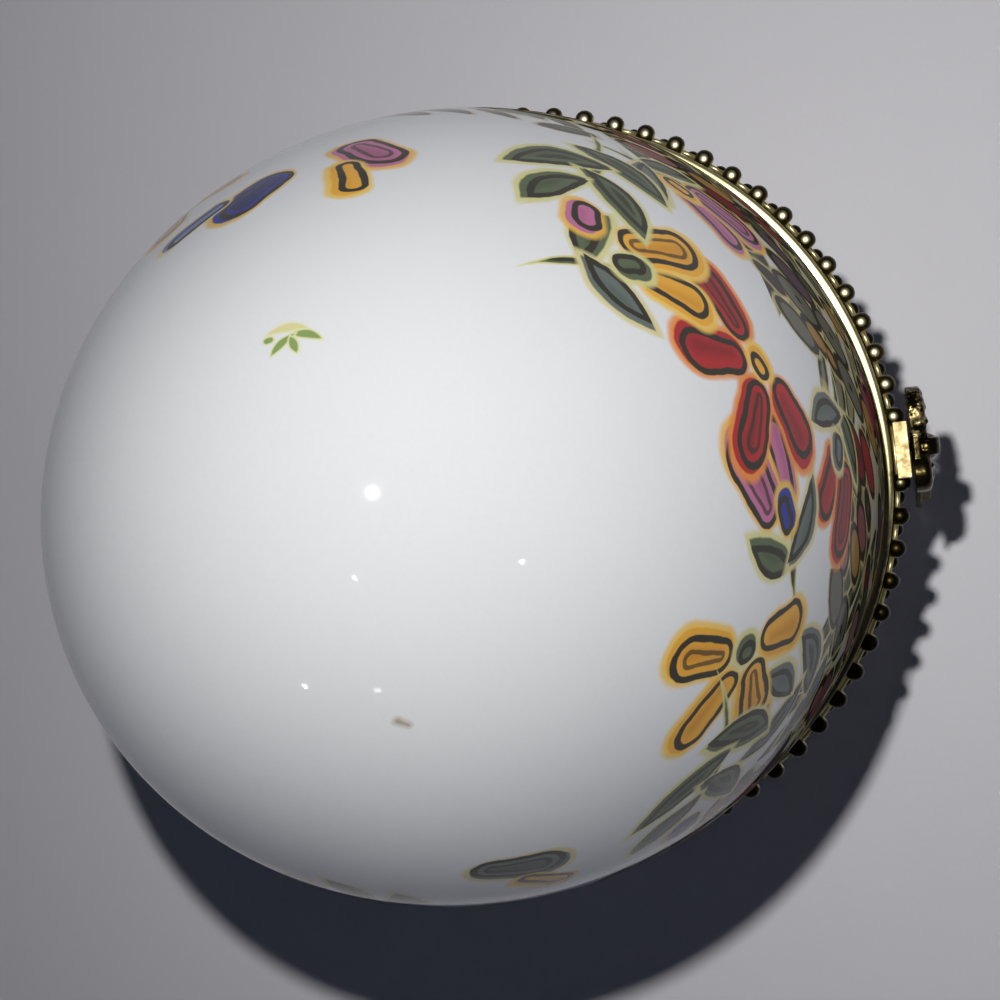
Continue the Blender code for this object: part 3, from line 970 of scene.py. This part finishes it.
def bud(outer, inner):
    return motif(f"bud_{outer}_{inner}", [
        (0.6, -5.8, 80, 3.8, 0.32, None, 0.05, "green", 0),
        (-2.2, -4.6, 140, 3.2, 1.15, None, 0.06, "green", 0),
        (3.0, -4.8, 35, 3.4, 1.2, None, -0.05, "slate", 0),
        (2.1, 0.4, 74, 3.2, 1.35, 0.08, 0, outer, 0),
        (-1.5, 0.8, 100, 3.7, 1.85, 0.10, 0, outer, 0.8),
        (0.7, -2.6, 90, 1.5, 1.0, 0, 0, inner, 0),
    ])


def leafy(ink, berry):
    return motif(f"leaves_{ink}_{berry}", [
        (0, 0, 60, 7.4, 0.32, None, 0.03, "green", 0),
        (-3.0, -1.4, 132, 4.0, 1.45, None, 0.05, ink, 0.8),
        (2.8, -1.0, 14, 4.2, 1.40, None, -0.05, ink, 0.8),
        (-0.8, 3.6, 112, 3.8, 1.35, None, 0.05, ink, 0.8),
        (4.4, 3.6, 38, 3.4, 1.25, None, -0.04, ink, 0),
        (2.8, 6.8, 75, 1.7, 1.15, 0.05, 0, berry, 0),
    ])


def loose_petals(first, second):
    return motif(f"petals_{first}_{second}", [
        (-1.6, -0.6, 75, 3.3, 1.8, 0.10, 0, first, 0.8),
        (2.5, 1.6, 50, 2.7, 1.0, 0.05, 0, second, 0),
    ])


def sprig():
    """A few dabs without any ink."""
    return motif("sprig", [
        (0.2, -0.9, 170, 1.6, 0.40, None, 0.1, "lemon", None),
        (-1.3, 0.3, 155, 1.3, 0.34, None, 0.1, "lime", None),
        (0.9, 0.6, 35, 1.3, 0.34, None, -0.1, "lime", None),
        (-0.1, 1.1, 100, 0.9, 0.30, None, 0, "lime", None),
        (1.9, -0.2, 0, 0.4, 0.26, 0, 0, "lime", None),
    ])


def smudge():
    """A small mark of dirt."""
    return motif("smudge", [(0, 0, 0, 0.42, 0.12, 0.1, 0, "dust", None)])


# Each spray: degrees round from the clasp, mm up from the rim, roll, size, its strokes
LID_SPRAYS = [
    (40, 23.0, 100, 0.95, bud("rose", "gold")),
    (-2, 24.5, 60, 0.95, bud("red", "slate")),
    (-30, 24.5, 40, 0.95, leafy("slate", "blue")),
    (1, 35.0, -70, 0.95, bud("rose", "blue")),
    (17, 32.5, 12, 1.0, flower("red", "gold", 4, 160)),
    (35, 36.5, 150, 0.95, bud("gold", "green")),
    (53, 31.0, 40, 1.0, leafy("green", "rose")),
    (-23, 36.5, 100, 0.95, flower("gold", "green", 4, 170)),
    (-43, 32.0, 150, 1.0, leafy("green", "blue")),
    (-72, 38.5, 240, 1.0, loose_petals("slate", "gold")),
    (-98, 34.0, 60, 0.9, leafy("green", "gold")),
    (-124, 32.5, 0, 0.9, flower("rose", "gold", 5)),
    (-150, 31.0, 200, 1.0, bud("red", "gold")),
    (-172, 34.5, 30, 0.9, flower("blue", "gold", 5)),
    (164, 31.0, -50, 1.0, leafy("green", "red")),
    (142, 34.5, 10, 0.95, bud("rose", "gold")),
    (121, 32.0, 70, 0.9, flower("gold", "blue", 5, 110)),
    (104, 41.0, -25, 0.95, loose_petals("blue", "sky")),
    (84, 39.0, 60, 0.95, loose_petals("rose", "gold")),
    (80, 56.3, 20, 0.65, sprig()),
    (-59, 57.3, 110, 1.0, smudge()),
]
# Fuller rows, worked round a shell in turn
ROW_SPRAYS = [
    flower("rose", "gold", 5), leafy("green", "red"), bud("sky", "blue"), flower("red", "green", 5),
    leafy("slate", "rose"), flower("gold", "blue", 6), bud("rose", "red"), leafy("green", "gold"),
]
# Each row of the base: mm from the rim, how many sprays, the first spray's number
BASE_ROWS = ((19.0, 12, 2), (31.0, 9, 1))
# How far a spray reaches from its place, and how far up the painting goes, in mm
SPRAY_REACH = 10.0
PAINT_TOP = 63.0
# The shells' painting is split into this many materials, round the axis
SECTORS = 16

# Two layers of small strokes that fill the porcelain next to the rim
LEAF_TINTS = ("4C5230", "6A6C42", "807A60", "5C5C40", "928E66", "746248")
PETAL_TINTS = ("7C2022", "8E5254", "A0706A", "5C4852", "9E2C26", "6C695A", "B08440", "4C5230")
FOLIAGE_TOP = 25.0
# The wash under them, which fades out between these distances from the rim
WASH = linear("B0A986")
WASH_FULL = 11.25
WASH_TOP = 23.75
# How far a stroke drifts from its place, in mm, and how uneven its edges are
DRIFT = 0.9
WOBBLE = 0.08


def foliage(sheet, turn, arc, fine, under, tints, across, upward, twist, seed):
    """A layer of ovals with ink outlines. across and upward are an oval's room in mm, and twist
    how far a row moves round for each mm up."""
    around = sheet.times(arc, twist / RIM_RADIUS, turn)
    inputs = {
        i: sheet.times(sheet.math(part, around), RIM_RADIUS / across)
        for i, part in enumerate(("SINE", "COSINE"))
    }
    inputs[2] = sheet.times(arc, 1 / upward, seed)
    spots = sheet.add("CombineXYZ", inputs).outputs[0]
    cells = sheet.add("TexVoronoi", {"Vector": spots, "Scale": 1.0, "Randomness": 0.75}).outputs
    chance = sheet.chances(cells["Color"])
    level = sheet.parts(cells["Position"])[2]
    top = sheet.times(chance[1], 0.9, seed + FOLIAGE_TOP / upward - 0.45)
    kept = sheet.math("LESS_THAN", level, top)
    reach = sheet.times(fine, 0.10, sheet.math("SUBTRACT", cells["Distance"], 0.05))
    stops = [(i / len(tints), linear(tint)) for i, tint in enumerate(tints)]
    tint = sheet.ramp(chance[0], stops, "CONSTANT")[0]
    halo = sheet.ramp(reach, [(0.52, 1), (0.60, 0)])[0]
    body = sheet.ramp(reach, [(0.50, 1), (0.52, 0)])[0]
    ink = [(0.06, 1), (0.09, 0), (0.38, 0), (0.41, 1), (0.49, 1), (0.51, 0)]
    lines = sheet.ramp(reach, ink)[0]
    colour = sheet.mix(sheet.times(halo, kept), under, linear("C9BC7C"))
    colour = sheet.mix(sheet.times(body, kept), colour, tint)
    return sheet.mix(sheet.times(lines, kept), colour, INK)


def rows(levels, seed):
    """Sprays set round in rows, each turned and moved a little by chance."""
    chance = np.random.default_rng(seed)
    placed = []
    for level, count, first in levels:
        for i in range(count):
            turn = (i + 0.5 * (first % 2)) * 360 / count + (chance.random() - 0.5) * 7
            upward = level + (chance.random() - 0.5) * 3.5
            roll = chance.random() * 360
            size = 0.82 + 0.15 * chance.random()
            design = ROW_SPRAYS[(first + 3 * i) % len(ROW_SPRAYS)]
            placed.append(((turn + 180) % 360 - 180, upward, roll, size, design))
    return placed


def painted_porcelain(name, sprays, radius_at, low, high):
    """Porcelain painted with the sprays that reach the sector between two angles."""
    sheet = material_sheet(name)
    place = sheet.place()
    across, forward, _ = sheet.parts(place)
    turn = sheet.math("ARCTAN2", across, sheet.times(forward, -1.0))
    radius = sheet.off_axis()
    arc = sheet.layer("arc")
    cloud = sheet.vector("SUBTRACT", sheet.noise(place, 150, 1, out=1), (0.5, 0.5, 0.5))
    drift = sheet.vector("MULTIPLY", cloud, (DRIFT, DRIFT, 0))
    fine = sheet.noise(place, 620, 2)
    wobble = sheet.times(fine, WOBBLE, share_at(0) - WOBBLE / 2)
    wash = sheet.over_arc(25, [(WASH_FULL, 0.85), (WASH_TOP, 0)])
    colour = sheet.mix(wash, PORCELAIN, WASH)
    colour = foliage(sheet, turn, arc, fine, colour, LEAF_TINTS, 3.4, 6.5, 1.1, 2.0)
    colour = foliage(sheet, turn, arc, fine, colour, PETAL_TINTS, 4.6, 4.4, -0.8, 5.0)
    middle, half = (low + high) / 2, (high - low) / 2
    for degrees, level, roll, scale, design in sprays:
        reach = math.degrees(SPRAY_REACH / radius_at(level))
        away = (degrees - middle + 180) % 360 - 180
        if abs(away) > half + reach:
            continue
        centre = math.radians(middle + away)
        across = sheet.times(sheet.math("SUBTRACT", turn, centre), radius)
        upward = sheet.math("SUBTRACT", arc, level)
        spot = sheet.add("CombineXYZ", {0: across, 1: upward}).outputs[0]
        turned = sheet.local(sheet.vector("ADD", spot, drift), roll, size=scale)
        painted = sheet.add("Group", {0: turned, 1: colour, 2: wobble}, node_tree=design)
        colour = painted.outputs[0]
    glaze(sheet, place, colour)
    return sheet.owner


POLISHED = linear("EDE0A6")
GILT = linear("CDBA8C")
# Olive tarnish; as the base beads' whole colour it is painted shade.
OLIVE_TARNISH_AND_SHADE = linear("6E6336")
# Black tarnish, also laid on as painted shade on the flange and the beads
SOOT_AND_SHADE = linear("2B2410")
BALL = linear("52472A")
# The balls' painted highlight, on their tops
BALL_HIGHLIGHT = linear("E4D8AC")
# Worn grain on the bow, with painted glints
GRAIN = linear("B4A070")


def brass(name, colour, tarnish, stain, roughness, skin, depth, patch=420):
    """Brass that tarnish darkens in patches, by the stain's lowest and highest share, under a
    skin of grain size and depth in mm. Returns the sheet, to add to, and its colour."""
    sheet = material_sheet(name)
    place = sheet.place()
    cloud = sheet.noise(place, patch, 4, 0.6)
    worn = sheet.ramp(cloud, [(0.40, stain[0]), (0.66, stain[1])])[0]
    tone = sheet.mix(worn, colour, tarnish)
    sheet.set(Base_Color=tone, Metallic=1.0, Roughness=sheet.times(worn, 0.20, roughness))
    sheet.bump(sheet.noise(place, 1000 / skin, 3, 0.6), depth, 0.8)
    return sheet, tone


def rim_brass():
    """Bright, but for painted shade on the flange: inside its lip, reaching further out towards -X,
    and all over at -X in broken patches.
    """
    sheet, tone = brass("polished_brass_mounts", POLISHED, OLIVE_TARNISH_AND_SHADE, (0.0, 0.3), 0.38, 0.5, 0.007)
    place = sheet.place()
    across, _, upward = sheet.parts(place)
    height = sheet.math("ABSOLUTE", sheet.math("SUBTRACT", upward, parting))
    flange = sheet.math("GREATER_THAN", height, (flange_top - FLANGE_THICKNESS) * MM)
    edge = sheet.times(across, 1 / (45 * MM), 1 - flange_outer)
    # Painted shade on the flange's inner part, next to the porcelain, its edge moving outward
    # towards -X
    lip = sheet.ramp(sheet.math("ADD", sheet.off_axis(), edge), [(0.50, 1), (0.62, 0)])[0]
    # Painted shade over the whole flange at -X, its edge broken up by these patches
    patches = sheet.noise(place, 700, 3, 0.6)
    side = sheet.times(across, -1 / (30 * MM), sheet.times(patches, 1.2))
    far_side_shade = sheet.times(sheet.ramp(side, [(0.72, 0), (0.95, 1)])[0], 0.8)
    dark = sheet.math("MAXIMUM", sheet.times(lip, 0.85), far_side_shade)
    sheet.set(Base_Color=sheet.mix(sheet.times(dark, flange), tone, SOOT_AND_SHADE))
    return sheet.owner


def beaded_brass(name, polish, painted_shade):
    """Bright on the thin core. The balls get a painted highlight on their tops and painted shade
    that blackens them all at -X.
    The last argument adds that painted shade to all the wire's balls."""
    sheet, tone = brass(name, polish, OLIVE_TARNISH_AND_SHADE, (0.0, 0.5), 0.30, 0.4, 0.006)
    across = sheet.times(sheet.parts(sheet.place())[0], 1 / (40 * MM), 0.5)
    # Painted shade: the balls go black towards -X.
    side = sheet.ramp(across, [(0.40, 1), (0.62, 0)])[0]
    upward = sheet.parts(sheet.add("TexCoord").outputs["Normal"])[2]
    # A painted highlight where a ball's normal points up, over its dark tone.
    top = sheet.ramp(upward, [(0.84, BALL), (0.975, BALL_HIGHLIGHT)])[0]
    metal = sheet.mix(sheet.math("MAXIMUM", side, painted_shade), top, SOOT_AND_SHADE)
    ball = sheet.ramp(sheet.layer("swell"), [(0.05, 0), (0.40, 1)])[0]
    sheet.set(Base_Color=sheet.mix(ball, tone, metal), Roughness=sheet.times(ball, -0.06, 0.44))
    return sheet.owner


def bow_brass():
    """A dark casting, its raised grains bright on the loop at +X, the side towards the lamp: worn
    grain with painted glints.
    """
    sheet, tone = brass("bow_brass", linear("50472A"), SOOT_AND_SHADE, (0.45, 1.0), 0.26, 0.25, 0.02)
    place = sheet.place()
    across = sheet.times(sheet.parts(place)[0], 1 / (8 * MM), 0.5)
    # Grains brightened only at +X, the lamp's side: worn grain, partly painted glints.
    side = sheet.ramp(across, [(0.58, 0.04), (0.70, 1)])[0]
    grains = sheet.noise(place, 1300, 2, 0.55)
    worn_grain_and_glints = sheet.ramp(grains, [(0.48, 0), (0.62, 1)])[0]
    bright = sheet.times(worn_grain_and_glints, side)
    sheet.set(Base_Color=sheet.mix(bright, tone, GRAIN))
    sheet.set(Roughness=sheet.times(bright, 0.28, 0.24))
    return sheet.owner


def floor():
    cage = bmesh.new()
    bmesh.ops.create_grid(cage, x_segments=8, y_segments=8, size=3.0)
    made = solid(cage, "floor")
    sheet = material_sheet("floor_paper")
    place = sheet.place()
    tone = sheet.noise(place, 60, 4)
    sheet.set(Base_Color=sheet.mix(sheet.times(tone, 0.2), FLOOR_COLOUR, FLOOR_GRAIN))
    sheet.set(Roughness=0.62)
    sheet.bump(sheet.noise(place, 900, 2), 0.05, 0.3)
    made.data.materials.append(sheet.owner)


def world():
    """A dim room, dark overhead and paler round the sides."""
    sheet = Sheet(bpy.data.worlds.new("room"))
    bpy.context.scene.world = sheet.owner
    upward = sheet.parts(sheet.add("TexCoord").outputs["Generated"])[2]
    sky = sheet.ramp(upward, [(0.0, HORIZON), (0.3, SKY_SIDE), (0.85, SKY_TOP)], "EASE")
    sheet.put(sheet.nodes["Background"].inputs["Color"], sky[0])


def lamp(name, place, size, strength, colour, aim):
    """A round soft lamp whose light doesn't fade with distance."""
    sheet = Sheet(bpy.data.lights.new(name, "AREA"))
    sheet.owner.shape = "DISK"
    sheet.owner.size = size * MM
    sheet.owner.energy = 1
    falloff = sheet.add("LightFalloff", {"Strength": strength})
    inputs = sheet.nodes["Emission"].inputs
    sheet.put(inputs["Color"], colour)
    sheet.put(inputs["Strength"], falloff.outputs["Constant"])
    made = scratch(name, sheet.owner)
    made.location = Vector(place) * MM + Vector((0, 0, parting))
    made.rotation_euler = (Vector(place) - Vector(aim)).to_track_quat("Z", "Y").to_euler()


def camera():
    """Turns about the middle of the lid's beads, then yaws and pitches a little off it."""
    a, e = CAMERA_AZIMUTH, CAMERA_ELEVATION
    back = Vector((math.cos(e) * math.cos(a), math.cos(e) * math.sin(a), math.sin(e)))
    right = Vector((-math.sin(a), math.cos(a), 0))
    axes = Matrix((right, back.cross(right), back)).transposed()
    turned = axes @ Matrix.Rotation(CAMERA_ROLL, 3, "Z")
    turned = turned @ Matrix.Rotation(CAMERA_YAW, 3, "Y") @ Matrix.Rotation(-CAMERA_PITCH, 3, "X")
    data = bpy.data.cameras.new("photo_camera")
    data.lens = CAMERA_LENS
    data.sensor_width = 36
    data.clip_start = 0.002
    made = scratch("photo_camera", data)
    middle = Vector((0, 0, parting + CAMERA_HEIGHT * MM))
    made.matrix_world = Matrix.Translation(middle + back * CAMERA_DISTANCE * MM) @ turned.to_4x4()
    bpy.context.scene.camera = made


def paint_shell(piece, plain, sprays, radius_at):
    """Gives a shell plain porcelain, and each painted sector its own painted porcelain."""
    piece.data.materials.append(plain)
    width = 360 / SECTORS
    for number in range(SECTORS):
        low = number * width - 180
        name = f"{piece.name}_painting_{number}"
        piece.data.materials.append(painted_porcelain(name, sprays, radius_at, low, low + width))
    arc = piece.data.attributes["arc"].data
    for face in piece.data.polygons:
        arcs = [arc[i].value for i in face.vertices]
        if min(arcs) < 0 or max(arcs) > PAINT_TOP:
            continue
        turn = math.degrees(math.atan2(face.center.x, -face.center.y))
        face.material_index = 1 + int((turn + 180) / width) % SECTORS


def dress(piece, material):
    piece.data.materials.clear()
    piece.data.materials.append(material)


def build():
    lid, lid_radius = shell("lid_porcelain", *lid_section(), "lid", "lid_shell")
    base, base_radius = shell("base_porcelain", *base_section(), "base", "base_shell")

    polished = rim_brass()
    gilt = brass("gilt_brass", GILT, linear("9A8656"), (0.0, 0.9), 0.50, 0.3, 0.02, 900)[0].owner
    cast = bow_brass()
    wire = brass("brass_pin_wire", linear("D8C98E"), OLIVE_TARNISH_AND_SHADE, (0.0, 0.5), 0.2, 0.3, 0.004)[0].owner

    dress(collar("lid_rim_mount", 1, "lid", "lid_collar"), polished)
    dress(collar("base_rim_mount", -1, "base", "base_collar"), polished)
    beads = bead_wire(
        "lid_beading", 1, lid_ring, LID_BEAD_RADIUS, 0, (0,), "lid", "lid_bead_wire", 21
    )
    dress(beads, beaded_brass("beaded_brass", POLISHED, 0.0))
    beads = bead_wire(
        "base_beading", -1, base_ring, BASE_BEAD_RADIUS, 0.5, (-0.5, 0.5), "base",
        "base_bead_wire", 22,
    )
    # The base's beads are dark all over and darker on their balls: painted shade, as under the
    # lid's flange.
    dress(beads, beaded_brass("shaded_brass", OLIVE_TARNISH_AND_SHADE, 0.8))
    inner = [(-LID_KNUCKLE_HALF, LID_KNUCKLE_HALF)]
    outer = [(-leaf_half, -LID_KNUCKLE_HALF - GAP), (LID_KNUCKLE_HALF + GAP, leaf_half)]
    for piece in (
        hinge_plate("lid_hinge_plate", 1, inner, outer, "lid", "lid_hinge_leaf"),
        hinge_plate("base_hinge_plate", -1, outer, inner, "base", "base_hinge_leaf"),
    ):
        dress(piece, polished)
    dress(hinge_pin(), wire)
    dress(clasp_pad(), gilt)
    dress(bow(), cast)
    dress(catch(), cast)
    plain = material_sheet("glazed_porcelain")
    glaze(plain, plain.place(), PORCELAIN)
    paint_shell(lid, plain.owner, LID_SPRAYS, lid_radius)
    paint_shell(base, plain.owner, rows(BASE_ROWS, 8), base_radius)


build()
floor()
world()
lamp("flash", LAMP_PLACE, LAMP_SIZE, LAMP_STRENGTH, (1.0, 0.99, 0.97), LAMP_AIM)
for number, place in enumerate(ROOM_LAMPS):
    name = f"room_lamp_{number}"
    lamp(name, place, ROOM_LAMP_SIZE, ROOM_LAMP_STRENGTH, (1.0, 1.0, 1.0), (0, 0, 50))
camera()
bpy.context.scene.view_settings.view_transform = "Standard"
